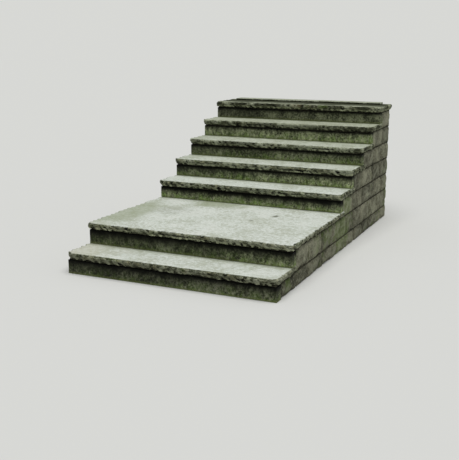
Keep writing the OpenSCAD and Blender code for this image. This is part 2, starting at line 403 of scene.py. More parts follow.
def slab_surface(x0, x1, y0, y1, z0, z1, corner, ends, seed, step):
    """A slab with broken edges at the front and at the ends named in ends.

    A profile is carried along the walk round the slab: rows of points run from the inner edge of a band
    on the top, over the arris, down the broken face and in again below. Each point is the walk's place,
    set in by the row's inset, kept within the band, and moved outwards by the relief. Even grids fill
    the top and the underside inside the band, and flat faces close the back and a cut end."""
    left, right = "left" in ends, "right" in ends
    xa, xb, ya = x0 + BAND * left, x1 - BAND * right, y0 + BAND
    gx = np.linspace(xa, xb, max(2, round((xb - xa) / GRID_STEP)) + 1)
    gy = np.linspace(ya, y1, max(2, round((y1 - ya) / GRID_STEP)) + 1)
    place, out, rim = slab_walk(x0, x1, y0, y1, corner, left, right, gx, gy)
    s = np.concatenate([[0], np.cumsum(np.linalg.norm(np.diff(place, axis=0), axis=1))])[None]
    place_x, place_y = place.T[:, None]
    out_x, out_y = out.T[:, None]

    thick = z1 - z0
    inset, drop, weight, edge = (a[:, None] for a in slab_profile(thick).T)
    v = drop / thick
    relief = face_relief(place_x, fade(-1.5 * out_y), s, drop, thick, seed, step)
    around = 0.7 * local_mean(relief, (6, 9)) + 0.3 * local_mean(relief, (3, 3))
    hollow = (around - relief) / HOLLOW_SCALE * np.where(edge < 0, 0.4, 1.0)
    relief = relief * weight
    px = np.clip(place_x - out_x * inset, x0 + inset * left, x1 - inset * right) + out_x * relief
    py = np.maximum(place_y - out_y * inset, y0 + inset) + out_y * relief
    chips = 0.6 * struck(s, seed) + 0.9 * np.clip(0.22 - fracture(s, 0.0, seed), 0, 0.5)
    spall = SPALL_DEPTH * fade((chips - 0.28) / 0.5) * np.exp(-inset / SPALL_REACH)
    edge = edge + np.where(edge < 2 * ARRIS, 0.8 * spall, 0)
    pz = z1 - drop - spall * np.clip(1 - 5 * v, 0, 1) + surface_wave(px, py, seed) * (1 - v)
    for row, level in ((0, z1 + surface_wave(rim[:, 0], rim[:, 1], seed)), (-1, z0)):
        px[row], py[row] = rim.T
        pz[row] = level

    band_index = np.arange(px.size).reshape(px.shape)
    mx, my = np.meshgrid(gx, gy, indexing="ij")
    top_index = band_index.size + np.arange(mx.size).reshape(mx.shape)
    low_index = top_index + mx.size
    quads = [grid_faces(band_index), grid_faces(top_index), grid_faces(low_index)]
    quads.append(grid_faces(np.stack([top_index[:, -1], low_index[:, -1]])))
    for is_broken, row in ((left, 0), (right, -1)):
        if not is_broken:
            quads.append(grid_faces(np.stack([top_index[row], low_index[row]])))

    surfaces = ((px, py, pz), (mx, my, z1 + surface_wave(mx, my, seed)), (mx, my, mx * 0 + z0))
    points = np.concatenate([np.stack(surface, axis=-1).reshape(-1, 3) for surface in surfaces])
    flat = np.zeros(mx.size)
    sunk = np.clip(0.5 + 0.5 * hollow * weight, 0, 1)
    values = {
        "edge": np.concatenate([np.broadcast_to(edge, px.shape).ravel(), flat - BAND, flat + thick + BAND]),
        "hollow": np.concatenate([sunk.ravel(), flat + 0.5, flat + 0.5]),
    }
    return points, np.concatenate(quads), [band_index[:, 0], band_index[:, -1]], values


# Blocks: riser stones, walling stones, mortar and the sill

# Places of the close rows beside an arris, in radii of the arris
NEAR_ARRIS = np.array([0, 0.4, 1.0, 2.4])


def cuts(a, b, step, fine):
    """Places from a to b: close together at both ends, where the arris is, and even between them."""
    near = NEAR_ARRIS * min(fine, (b - a) / 5)
    n = max(1, round((b - a - 2 * near[-1]) / step))
    even = np.linspace(a + near[-1], b - near[-1], n + 1)
    return np.concatenate([a + near[:-1], even, (b - near[:-1])[::-1]])


def block_surface(lo, hi, steps, radius, relief=None):
    """A box with rounded arrises: six grids over its faces. Each point is drawn in to the box shrunk by
    the radius, set out again by the radius along the same direction, and then moved along it by
    relief(points, direction). Gives the points, the quads, and how near each point is to the middle of
    an arris, from 0 to 1."""
    lo, hi = np.array(lo), np.array(hi)
    axes = [cuts(lo[i], hi[i], steps[i], radius) for i in range(3)]
    points, quads, count = [], [], 0
    for axis in range(3):
        u, w = [a for a in range(3) if a != axis]
        mu, mw = np.meshgrid(axes[u], axes[w], indexing="ij")
        for side in (lo, hi):
            p = np.zeros(mu.shape + (3,))
            p[..., u], p[..., w], p[..., axis] = mu, mw, side[axis]
            points.append(p.reshape(-1, 3))
            quads.append(grid_faces(count + np.arange(mu.size).reshape(mu.shape)))
            count += mu.size
    p = np.concatenate(points)
    inner = np.clip(p, lo + radius, hi - radius)
    way = p - inner
    way /= np.linalg.norm(way, axis=1)[:, None]
    arris = np.clip((1 - np.abs(way).max(axis=1)) / 0.2, 0, 1)
    reach = np.full(len(p), radius)
    if relief:
        reach = reach + relief(p, way)
    return inner + reach[:, None] * way, np.concatenate(quads), arris


# Mortar beds: step round them, insets of the rows of their rounded edge, and depth and size of the pits
BED_STEP = 12 * MM
BED_INSETS = np.array([2.0, 0.6, 0.0, 0.6, 2.0]) * MM
PIT_DEPTH = 4 * MM
PIT_SIZE = 22 * MM


def bed_surface(lo, hi, seed):
    """A flat bed of mortar: a profile of a rounded edge carried round all four sides in even steps,
    pitted by noise, and closed above and below by one polygon each."""
    corners = [(lo[0], lo[1]), (hi[0], lo[1]), (hi[0], hi[1]), (lo[0], hi[1]), (lo[0], lo[1])]
    place, out = [], []
    for a, b, way in zip(corners[:-1], corners[1:], (FRONT, RIGHT, BACK, LEFT)):
        n = round(math.dist(a, b) / BED_STEP)
        t = np.arange(n)[:, None] / n
        place.append(np.array(a) + (np.array(b) - np.array(a)) * t)
        out.append(np.tile(np.array(way[:2], float), (n, 1)))
    place, out = np.concatenate(place), np.concatenate(out)
    out = (out + np.roll(out, 1, axis=0)) / 2
    height = np.linspace(hi[2], lo[2], len(BED_INSETS))[:, None]
    x, y = place.T[:, None]
    out_x, out_y = out.T[:, None]
    pits = noise(x / PIT_SIZE, y / PIT_SIZE, height / PIT_SIZE + x * 0, seed)
    depth = BED_INSETS[:, None] + PIT_DEPTH * pits
    px, py = x - out_x * depth, y - out_y * depth
    points = np.stack([px, py, height + px * 0], axis=-1).reshape(-1, 3)
    index = np.arange(px.size).reshape(px.shape)
    ring = np.concatenate([index, index[:, :1]], axis=1)
    return points, grid_faces(ring), [index[0], index[-1]]


def join(surfaces):
    """Several surfaces, each of points and quads, joined in one."""
    points, quads = zip(*surfaces)
    starts = np.cumsum([0] + [len(p) for p in points])
    return np.concatenate(points), np.concatenate([q + start for q, start in zip(quads, starts)])


def shown_part(way, faces):
    """1 on the faces named by their outward directions, 0 on the others, smooth over the arrises."""
    return fade((way @ np.array(faces, float).T).max(axis=1))


def uneven(p, kind, seed):
    """Layered noise at points, of one kind: its length and its depth."""
    length, depth = kind
    return depth * layered(*(p.T / length), seed)


# Sawn and weathered stone: length and depth of the wide waves, of the pits and of the grain, the level of
# noise from which there are pits, and how far all of it is set in. Nothing stands out beyond the face.
SAWN_WAVES = (160 * MM, 1.2 * MM)
SAWN_PITS = (14 * MM, 4.0 * MM)
SAWN_GRAIN = (20 * MM, 0.9 * MM)
PIT_LEVEL = 0.64
SAWN_INSET = 0.7 * MM


def sawn_relief(seed, faces, depth=1.0):
    """Sawn and weathered stone, on the shown faces: wide waves, shallow pits and a fine grain."""
    def relief(p, way):
        length, deepest = SAWN_PITS
        pits = deepest * np.clip(noise(*(p.T / length), seed + 5) - PIT_LEVEL, 0, 1)
        whole = uneven(p, SAWN_WAVES, seed) - pits + uneven(p, SAWN_GRAIN, seed + 9) - SAWN_INSET
        return np.minimum(depth * whole, 0) * shown_part(way, faces)
    return relief


# Hammer-dressed faces: length and depth of their broad slopes and of their grain, lean of their scars, and
# their length, height and depth, and how far all of it is set in before what still stands out is cut off
DRESSED_SLOPES = (100 * MM, 12 * MM)
DRESSED_GRAIN = (16 * MM, 3 * MM)
DRESSED_LEAN = 20
DRESSED_SCARS = (60 * MM, 36 * MM, 20 * MM)
DRESSED_INSET = 2 * MM
# How far they fall back towards their sides, over what distance, length and depth of the raggedness of
# that, and how far behind a face the stone still moves with it
PILLOW_DEPTH = 9 * MM
PILLOW_REACH = 34 * MM
PILLOW_RAGGED = (50 * MM, 18 * MM)
DRESSED_DEPTH = 45 * MM


def dressed(points, lo, hi, faces, seed):
    """Hammer-dressed faces on the stone between lo and hi. Each face named by its outward direction is
    set in by broad slopes, leaning scars, grain and a fall towards its four sides, and takes what lies
    just behind it along, less and less with the distance. Gives the points and how deep each lies."""
    moved, deepest = points.copy(), np.zeros(len(points))
    along, across = turned(points[:, 0] + points[:, 1], points[:, 2], DRESSED_LEAN)
    length, height, scar_depth = DRESSED_SCARS
    rough = uneven(points, DRESSED_SLOPES, seed) + uneven(points, DRESSED_GRAIN, seed + 9)
    rough = rough + scar_depth * scars(along / length, across / height, seed + 5) - DRESSED_INSET
    ragged = uneven(points, PILLOW_RAGGED, seed + 15)
    for way in faces:
        axis = int(np.abs(way).argmax())
        sides = [a for a in range(3) if a != axis]
        near = np.minimum(points - lo, hi - points)[:, sides].min(axis=1)
        pillow = (1 - np.clip((near + ragged) / PILLOW_REACH, 0, 1)) ** 2
        behind = (hi - points if way[axis] > 0 else points - lo)[:, axis]
        share = np.clip(1 - behind / DRESSED_DEPTH, 0, 1)
        depth = (np.minimum(rough, 0) - PILLOW_DEPTH * pillow) * share
        moved[:, axis] += way[axis] * depth
        deepest = np.minimum(deepest, depth)
    return moved, deepest


# Finishes: shader nodes

def screen(r, g, b):
    """Linear colour of a screen colour given from 0 to 255."""
    c = np.array([r, g, b]) / 255
    return tuple(np.where(c <= 0.04045, c / 12.92, ((c + 0.055) / 1.055) ** 2.4)) + (1.0,)


def lit(color, light):
    """A linear colour made lighter or darker."""
    return tuple(light * c for c in color[:3]) + (1,)


# How far a bent pattern moves from its place
BEND = 0.008


class Nodes:
    """A node tree with short calls. Values given to a call may be sockets or constants."""

    def __init__(self, tree):
        self.tree = tree

    def add(self, kind, values=None, **settings):
        node = self.tree.nodes.new(kind)
        for key, value in settings.items():
            setattr(node, key, value)
        for key, value in (values or {}).items():
            if isinstance(value, bpy.types.NodeSocket):
                self.tree.links.new(value, node.inputs[key])
            else:
                node.inputs[key].default_value = value
        return node

    def link(self, output, node, key):
        self.tree.links.new(output, node.inputs[key])

    def group(self, tree, **values):
        return self.add("ShaderNodeGroup", values, node_tree=tree).outputs

    def attribute(self, name):
        return self.add("ShaderNodeAttribute", attribute_name=name).outputs["Fac"]

    def math(self, operation, a, b=0.0):
        return self.add("ShaderNodeMath", {0: a, 1: b}, operation=operation).outputs[0]

    def plus(self, a, b):
        return self.math("ADD", a, b)

    def minus(self, a, b):
        return self.math("SUBTRACT", a, b)

    def times(self, a, b):
        return self.math("MULTIPLY", a, b)

    def step(self, value, start, end):
        """0 at start, 1 at end, smooth between."""
        values = {"Value": value, "From Min": start, "From Max": end}
        return self.add("ShaderNodeMapRange", values, interpolation_type="SMOOTHSTEP").outputs[0]

    def mix(self, factor, a, b, blend="MIX"):
        values = {0: factor, 6: a, 7: b}
        return self.add("ShaderNodeMix", values, data_type="RGBA", blend_type=blend).outputs[2]

    def coats(self, color, *layers):
        """A colour with tints laid over it one after another. Each has a mask and a share of it."""
        for tint, mask, share in layers:
            color = self.mix(self.times(mask, share), color, tint)
        return color

    def shaded(self, color, light):
        """A colour made lighter or darker by a value that changes over the surface."""
        shade = self.add("ShaderNodeCombineColor", {0: light, 1: light, 2: light}).outputs[0]
        return self.mix(1.0, color, shade, "MULTIPLY")

    def noise(self, vector, scale, detail=3.0, rough=0.55):
        values = {"Vector": vector, "Scale": scale, "Detail": detail, "Roughness": rough}
        return self.add("ShaderNodeTexNoise", values).outputs[0]

    def swing(self, vector, scale, detail=3.0, rough=0.55):
        """Noise from -0.5 to 0.5."""
        return self.minus(self.noise(vector, scale, detail, rough), 0.5)

    def cells(self, vector, scale):
        """Distance to the nearest of scattered points, which rises to sharp ridges, and their colours."""
        return self.add("ShaderNodeTexVoronoi", {"Vector": vector, "Scale": scale}).outputs

    def stretch(self, vector, scale=(1, 1, 1), shift=(0, 0, 0)):
        values = {"Vector": vector, "Scale": scale, "Location": shift}
        return self.add("ShaderNodeMapping", values).outputs[0]

    def leaning(self, vector, degrees, shares):
        """Coordinates turned about Y, so that patterns lean down towards +X, then divided by shares."""
        values = {"Vector": vector, "Rotation": (0.0, math.radians(degrees), 0.0), "Scale": shares}
        return self.add("ShaderNodeMapping", values, vector_type="TEXTURE").outputs[0]

    def bent(self, vector, scale):
        """Coordinates shifted a little in all three directions by a noise, which bends a pattern."""
        values = {"Vector": vector, "Scale": scale, "Detail": 2.0}
        shift = self.add("ShaderNodeTexNoise", values).outputs["Color"]
        small = self.add("ShaderNodeVectorMath", {0: shift, "Scale": BEND}, operation="SCALE").outputs[0]
        return self.add("ShaderNodeVectorMath", {0: vector, 1: small}, operation="ADD").outputs[0]

    def away(self, vector, middle, half):
        """Distance from a middle, with the half sizes as 1, along as many axes as they have."""
        unused = [0] * (3 - len(half))
        shift = [-m / h for m, h in zip(middle, half)] + unused
        spread = self.stretch(vector, [1 / h for h in half] + unused, shift)
        return self.add("ShaderNodeVectorMath", {0: spread}, operation="LENGTH").outputs["Value"]


def new_group(name, outputs, **inputs):
    """An empty shader group. Inputs are given with their defaults: None for coordinates, a colour or a
    number. An output named Color is a colour, and any other is a number."""
    tree = bpy.data.node_groups.new(name, "ShaderNodeTree")
    for key, default in inputs.items():
        if default is None:
            tree.interface.new_socket(key, in_out="INPUT", socket_type="NodeSocketVector")
            continue
        kind = "NodeSocketColor" if isinstance(default, tuple) else "NodeSocketFloat"
        tree.interface.new_socket(key, in_out="INPUT", socket_type=kind).default_value = default
    for key in outputs:
        kind = "NodeSocketColor" if key == "Color" else "NodeSocketFloat"
        tree.interface.new_socket(key, in_out="OUTPUT", socket_type=kind)
    n = Nodes(tree)
    return tree, n, n.add("NodeGroupInput").outputs, n.add("NodeGroupOutput")


def grain_group():
    """Mineral grain: mottling of two sizes blends a pair of stone colours, grains of two sizes lighten
    and darken it, and mottling and grains give the height."""
    pale, dark = (0.6, 0.6, 0.55, 1), (0.4, 0.4, 0.36, 1)
    named = {"Vector": None, "Pale": pale, "Dark": dark, "Patch": 5.0, "Grain": 0.3}
    tree, n, given, out = new_group("stone_grain", ("Color", "Height"), **named)
    patch = n.noise(given["Vector"], given["Patch"], 5.0, 0.66)
    mottle = n.noise(given["Vector"], n.times(given["Patch"], 8.0), 4.0, 0.7)
    blend = n.plus(n.times(patch, 0.5), n.times(mottle, 0.5))
    color = n.mix(n.step(blend, 0.38, 0.62), given["Dark"], given["Pale"])
    coarse = n.step(n.noise(given["Vector"], 210.0, 2.0, 0.7), 0.30, 0.70)
    fine = n.step(n.noise(given["Vector"], 640.0, 2.0, 0.7), 0.30, 0.70)
    grains = n.plus(n.times(coarse, 0.6), n.times(fine, 0.4))
    light = n.plus(n.times(n.minus(grains, 0.5), given["Grain"]), 1.0)
    n.link(n.shaded(color, light), out, "Color")
    n.link(n.plus(n.times(grains, 0.6), n.times(mottle, 0.8)), out, "Height")
    return tree


def stain_group():
    """Stain that is strongest at one level of a coordinate and fades over its reach, with a ragged
    edge. Gives a mask from 0 to 1."""
    named = {"Vector": None, "Place": 0.0, "Level": 0.0, "Reach": 0.05, "Ragged": 0.8, "Scale": 14.0}
    tree, n, given, out = new_group("stain_by_distance", ("Mask",), **named)
    away = n.math("ABSOLUTE", n.minus(given["Place"], given["Level"]))
    ragged = n.swing(given["Vector"], given["Scale"], 5.0, 0.65)
    share = n.plus(n.math("DIVIDE", away, given["Reach"]), n.times(ragged, n.times(given["Ragged"], 2.0)))
    n.link(n.step(share, 1.0, 0.0), out, "Mask")
    return tree


def growth_group():
    """Crusts of lichen or algae: ragged patches where a fine noise rises above a threshold, only
    within larger areas. Gives a mask from 0 to 1."""
    tree, n, given, out = new_group("crust", ("Mask",), Vector=None, Scale=30.0, Area=4.0, Amount=0.5)
    area = n.noise(given["Vector"], given["Area"], 3.0, 0.6)
    crust = n.noise(given["Vector"], given["Scale"], 6.0, 0.72)
    level = n.plus(n.times(area, 0.5), n.times(crust, 0.5))
    threshold = n.minus(0.68, n.times(given["Amount"], 0.25))
    n.link(n.step(n.minus(level, threshold), -0.02, 0.06), out, "Mask")
    return tree


def arris_light_and_wear_group():
    """Paler arrises, a painted highlight with wear: where an arris is near and a noise lets it through, the
    colour turns paler.
    """
    color, light_and_wear = (0.2, 0.2, 0.2, 1), (0.5, 0.5, 0.45, 1)
    named = {"Vector": None, "Color": color, "Worn": light_and_wear, "Arris": 0.0, "Amount": 0.5}
    tree, n, given, out = new_group("arris_light_and_wear", ("Color",), **named)
    patchy = n.step(n.noise(given["Vector"], 30.0, 4.0, 0.65), 0.36, 0.60)
    near = n.times(given["Arris"], patchy)
    n.link(n.coats(given["Color"], (given["Worn"], near, given["Amount"])), out, "Color")
    return tree


GRAIN = grain_group()
STAIN = stain_group()
GROWTH = growth_group()
ARRIS_LIGHT_AND_WEAR = arris_light_and_wear_group()

# Colours as they look in plain light, written as screen colours
TOP_PALE = screen(217, 223, 216)
TOP_DARK = screen(180, 184, 168)
TOP_WARM = screen(200, 198, 184)
TOP_GREY = screen(160, 163, 146)
# Algae, and painted shade along the riser above and at the landing's left end
TOP_ALGAE_AND_SHADE = screen(138, 146, 112)
TOP_STAIN = screen(182, 178, 156)
# Grime, and painted shade along the riser above
TOP_GRIME_AND_SHADE = screen(104, 106, 88)
FACE_PALE = screen(101, 106, 82)
FACE_DARK = screen(62, 64, 47)
FACE_GLOOM = screen(40, 42, 30)
# Dirt, and painted shade in the hollows of the broken faces
FACE_DIRT_AND_SHADE = screen(18, 18, 13)
FACE_RIDGE = screen(188, 192, 168)
FACE_WARM = screen(168, 164, 130)
FACE_UPPER = screen(136, 140, 112)
FACE_FOOT = screen(178, 182, 150)
TAN = screen(166, 152, 118)
LICHEN = screen(168, 170, 146)
RISER_PALE = screen(128, 133, 104)
RISER_DARK = screen(50, 54, 39)
RISER_ALGAE = screen(96, 118, 57)
# Damp, and painted shade below the slabs, at the risers' left ends and in the mortar
RISER_DAMP_AND_SHADE = screen(22, 23, 17)
MOSS = screen(112, 122, 70)
# Painted shadow right under the slabs
UNDER_SLAB_PAINTED_SHADOW = screen(12, 12, 9)
WALL_PALE = screen(128, 127, 108)
WALL_DARK = screen(80, 80, 66)
MORTAR_PALE = screen(86, 84, 69)
MORTAR_DARK = screen(52, 51, 40)


def start_material(name):
    """A new material, its nodes and the coordinates on the piece."""
    material = bpy.data.materials.new(name)
    material.use_nodes = True
    n = Nodes(material.node_tree)
    return material, n, n.add("ShaderNodeTexCoord").outputs["Object"]


def finish_material(material, n, spot, color, height, roughness, distance):
    """Colour, uneven roughness and bump, given to a matt shader."""
    shader = material.node_tree.nodes["Principled BSDF"]
    shader.inputs["Specular IOR Level"].default_value = 0.08
    n.link(color, shader, "Base Color")
    n.link(n.plus(n.times(n.noise(spot, 26.0), 0.25), roughness - 0.12), shader, "Roughness")
    bump = n.add("ShaderNodeBump", {"Height": height, "Strength": 0.6, "Distance": distance})
    n.link(bump.outputs[0], shader, "Normal")
    return material


# Looks of the tops: lightness, below 1 a painted shade, dirt, and share of the stain along the riser above,
# which is partly painted shade in the corner
TopLook = namedtuple("TopLook", "light dirt line")
# Looks of the broken faces: reach of the paler upper part, a painted light, and its share, the shares of
# the dark middle, a painted shade, of the paler foot, a painted light, and of long light and dark
# stretches, partly painted light and shade of large lumps, and how far the face reaches in over the arris
FaceLook = namedtuple("FaceLook", "reach upper middle foot broad margin")
# Looks of the risers: share of algae, lightness, share of damp and painted shade below the slab, painted
# shade of the plants at the left end and its place on X
RiserLook = namedtuple("RiserLook", "algae light damp gloom gloom_x")


def sawn_top(n, spot, riser_line, place_y, look):
    """Sawn top of a slab: faint warm and dark clouds, algae in a few areas and in a ragged line along the
    riser above, and grime; the line is partly painted shade in the corner. Gives the colour and the height
    of the grain."""
    grain = n.group(GRAIN, Vector=spot, Pale=TOP_PALE, Dark=TOP_DARK, Patch=5.0, Grain=0.40)
    dull = n.noise(n.stretch(spot, shift=(4, 2, 6)), 28.0, 4.0, 0.66)
    growth = n.group(GROWTH, Vector=spot, Scale=18.0, Area=2.6, Amount=0.05 + 0.65 * look.dirt)[0]
    line = {"Vector": spot, "Place": place_y, "Level": riser_line, "Scale": 15.0}
    wide = n.group(STAIN, **line, Reach=0.110, Ragged=0.60)[0]
    narrow = n.group(STAIN, **line, Reach=0.020 + 0.045 * look.dirt, Ragged=0.5)[0]
    color = n.coats(
        grain["Color"],
        (TOP_WARM, n.step(n.noise(spot, 5.0, 6.0, 0.7), 0.44, 0.72), 0.4),
        (TOP_GREY, n.step(dull, 0.50, 0.70), 0.22),
        (TOP_ALGAE_AND_SHADE, growth, 0.42),
        # The ragged line along the riser above: algae and grime, partly painted shade in the corner
        (TOP_ALGAE_AND_SHADE, wide, look.line),
        (TOP_GRIME_AND_SHADE, narrow, 0.85),
        (TOP_GRIME_AND_SHADE, n.step(n.noise(spot, 75.0, 2.0, 0.6), 0.70, 0.76), 0.45),
    )
    return color, grain["Height"]


def broken_face(n, spot, where, edge, look, patches):
    """Broken face of a slab: pale on the ridges and near black in the hollows, painted light and shade of
    the relief with weathered stone on the ridges and dirt in the hollows, mottled between, with crusts of
    lichen. patches are listed: middle and half length along X, strength and colour. Gives the colour and
    the surface's height."""
    grain = n.group(GRAIN, Vector=spot, Pale=FACE_PALE, Dark=FACE_DARK, Patch=7.0, Grain=0.4)
    bent = n.bent(spot, 70.0)
    lean = n.leaning(bent, 28, (1, 1, 0.45))
    wild = n.swing(lean, 42.0, 5.0, 0.70)
    facets = n.cells(n.leaning(bent, 20, (1, 1, 0.6)), 52.0)
    chips = n.cells(n.stretch(bent, (1, 1, 1.4), (3, 5, 0)), 150.0)
    fine = n.swing(spot, 240.0, 5.0, 0.80)
    level = n.plus(n.attribute("hollow"), n.plus(n.times(wild, 0.80), n.times(fine, 0.70)))
    uneven_edge = n.plus(edge, n.times(n.swing(spot, 34.0), 0.016))
    warm = n.step(n.noise(n.stretch(spot, shift=(2, 9, 4)), 14.0, 4.0, 0.65), 0.42, 0.62)
    own_tone = n.add("ShaderNodeSeparateColor", {0: facets["Color"]}).outputs[0]
    algae = n.group(GROWTH, Vector=spot, Scale=24.0, Area=5.0, Amount=0.5)[0]
    crust = n.group(GROWTH, Vector=n.stretch(spot, shift=(7, 3, 1)), Scale=36.0, Area=6.0, Amount=0.42)[0]
    flecks = n.noise(n.stretch(lean, shift=(3, 7, 2)), 84.0, 3.0, 0.6)
    wide = n.noise(n.stretch(spot, (1, 1, 0.5)), 8.0, 3.0, 0.62)
    color = n.coats(
        grain["Color"],
        # Pale ridges: painted light of the relief, with weathered stone
        (n.mix(warm, FACE_RIDGE, FACE_WARM), n.step(level, 0.45, 0.26), 0.90),
        (FACE_DARK, own_tone, 0.55),
        (RISER_ALGAE, algae, 0.45),
        (LICHEN, crust, 0.55),
        # Paler upper part: painted light where the face turns up towards the top
        (FACE_UPPER, n.step(uneven_edge, look.reach, 0.0), look.upper),
        (FACE_RIDGE, n.step(flecks, 0.53, 0.64), 0.35),
        (FACE_DIRT_AND_SHADE, n.step(flecks, 0.47, 0.37), 0.50),
        # Long paler and darker stretches: partly painted light and shade of large lumps
        (FACE_RIDGE, n.step(wide, 0.52, 0.58), look.broad),
        (FACE_GLOOM, n.step(wide, 0.49, 0.42), look.broad),
    )
    for middle, half, strength, tint in patches:
        away = n.away(where, (middle,), (half,))
        color = n.coats(color, (tint, n.step(n.plus(away, n.times(wild, 1.2)), 1.15, 0.70), strength))

    stretch = n.step(n.noise(spot, 5.5, 3.0, 0.6), 0.36, 0.58)
    deep = n.plus(n.times(n.step(edge, 0.002, 0.014), n.plus(n.times(stretch, 0.34), 0.62)), 0.12)
    some = n.plus(n.times(n.step(n.noise(spot, 24.0, 3.0, 0.6), 0.40, 0.56), 0.30), 0.70)
    low = n.step(n.plus(edge, n.times(wild, 0.012)), 0.024, 0.040)
    pits = n.noise(n.leaning(spot, 35, (1, 1, 0.6)), 105.0, 3.0, 0.6)
    color = n.coats(
        color,
        # Darker middle and paler foot: painted shade and painted light of the face's bulge
        (FACE_DARK, n.step(uneven_edge, 0.006, 0.022), look.middle),
        (FACE_FOOT, low, look.foot),
        # Near black in the hollows: painted shade, with dirt
        (FACE_DIRT_AND_SHADE, n.step(level, 0.48, 0.61), n.times(deep, some)),
        (FACE_DIRT_AND_SHADE, n.step(n.plus(pits, n.times(fine, 0.3)), 0.56, 0.68), 0.70),
    )
    height = n.plus(n.times(facets["Distance"], 6.0), n.times(chips["Distance"], 2.2))
    return color, n.plus(height, n.plus(n.times(wild, 4.0), n.times(fine, 2.4)))


def slab_finish(name, riser_line, seed, top_look, face_look, marks=(), patches=()):
    """A slab's finish: sawn on the top, broken below the arris, where the change is ragged. The broken face
    is darkened half as much as the top; this darkening of the upper steps and the sill is painted shade of
    the porch and the door. marks are stains and painted shade on the top: X, Y, half sizes along them,
    strength and colour. patches go to the broken face."""
    material, n, where = start_material(name)
    spot = n.stretch(where, shift=(seed * 3.7, seed * 1.9, 0))
    edge = n.attribute("edge")
    place_y = n.add("ShaderNodeSeparateXYZ", {0: where}).outputs[1]
    top, fine = sawn_top(n, spot, riser_line, place_y, top_look)
    for x, y, half_x, half_y, strength, tint in marks:
        away = n.away(where, (x, y), (half_x, half_y))
        ragged = n.swing(spot, 1.2 / min(half_x, half_y), 5.0, 0.65)
        top = n.coats(top, (tint, n.step(n.plus(away, n.times(ragged, 1.6)), 1.15, 0.35), strength))
    face, rough = broken_face(n, spot, where, edge, face_look, patches)
    # Lightness below 1 darkens the top, and the broken face half as much: painted shade of the porch and
    # the door
    light = top_look.light
    if light < 1:
        half = (1 + light) / 2
        top = n.mix(1.0, top, (light * 0.99, light, light ** 1.4, 1), "MULTIPLY")
        face = n.mix(1.0, face, (half * 0.98, half, half ** 1.2, 1), "MULTIPLY")
    ragged_edge = n.plus(edge, n.times(n.swing(spot, 60.0), 0.014))
    below = n.step(ragged_edge, -0.003 - face_look.margin, 0.005 - face_look.margin)
    height = n.plus(fine, n.times(rough, below))
    return finish_material(material, n, spot, n.mix(below, top, face), height, 0.86, 1.0 * MM)


def riser_finish(name, foot, height, look, seed):
    """Sawn stone, dark and stained: mottled and streaked, green and paler in the lower part, darker at the
    left end than at the right, painted shade of the plants with some damp, and black under the slab,
    painted shade and shadow with some damp."""
    material, n, where = start_material(name)
    spot = n.stretch(where, shift=(seed * 2.3, 0, seed * 1.1))
    place_x, place_y, place_z = n.add("ShaderNodeSeparateXYZ", {0: where}).outputs
    tint = lit(RISER_ALGAE, max(1.0, look.light) ** 0.7)
    colors = {"Pale": lit(RISER_PALE, look.light), "Dark": lit(RISER_DARK, look.light)}
    grain = n.group(GRAIN, Vector=spot, **colors, Patch=7.0, Grain=0.9)
    fine = n.swing(spot, 260.0, 4.0, 0.75)
    green = n.step(n.noise(n.stretch(spot, (1, 1, 0.7)), 30.0, 5.0, 0.7), 0.40, 0.60)
    streaks = n.noise(n.stretch(spot, (1, 1, 0.35)), 46.0, 6.0, 0.72)
    grime = n.noise(n.stretch(spot, (1, 1, 0.6)), 20.0, 7.0, 0.75)
    specks = n.noise(n.stretch(spot, (1, 1, 0.8), (5, 1, 3)), 80.0, 3.0, 0.6)
    along = n.plus(place_x, n.times(n.swing(spot, 7.0, 5.0, 0.7), 0.9))
    crust = n.group(GROWTH, Vector=spot, Scale=48.0, Area=7.0, Amount=0.42)[0]

    def stain(level, reach, ragged, scale):
        line = {"Place": place_z, "Level": level, "Reach": reach, "Ragged": ragged, "Scale": scale}
        return n.group(STAIN, Vector=spot, **line)[0]

    color = n.coats(
        grain["Color"],
        (tint, n.times(stain(foot, height * 0.95, 0.55, 6.0), green), look.algae),
        (RISER_DAMP_AND_SHADE, n.step(n.plus(streaks, n.times(fine, 0.22)), 0.47, 0.64), 0.48),
        (RISER_DAMP_AND_SHADE, n.step(n.plus(grime, n.times(fine, 0.20)), 0.47, 0.64), 0.60),
        (LICHEN, n.step(specks, 0.52, 0.64), 0.30),
        (RISER_DAMP_AND_SHADE, n.step(specks, 0.48, 0.38), 0.45),
        # Painted shade of the plants at the left end, with some damp
        (RISER_DAMP_AND_SHADE, n.step(along, look.gloom_x + 0.45, look.gloom_x - 0.45), look.gloom),
        (LICHEN, crust, 0.40),
    )
    # Paler arrises: painted highlight, with wear
    color = n.group(ARRIS_LIGHT_AND_WEAR, Vector=spot, Color=color, Worn=LICHEN, Arris=n.attribute("arris"), Amount=0.45)[0]
    top = foot + height
    color = n.coats(
        color,
        (MOSS, stain(foot, 0.022, 0.5, 22.0), 0.6),
        # Painted shade below the slab, with some damp, and right under it a near-black painted shadow
        (RISER_DAMP_AND_SHADE, stain(top, height * 1.25, 0.40, 11.0), look.damp),
        (UNDER_SLAB_PAINTED_SHADOW, stain(top, height * (0.30 + 0.18 * look.damp), 0.30, 20.0), 0.97),
    )
    bumps = n.plus(grain["Height"], n.times(fine, 1.6))
    return finish_material(material, n, spot, color, bumps, 0.84, 1.4 * MM)


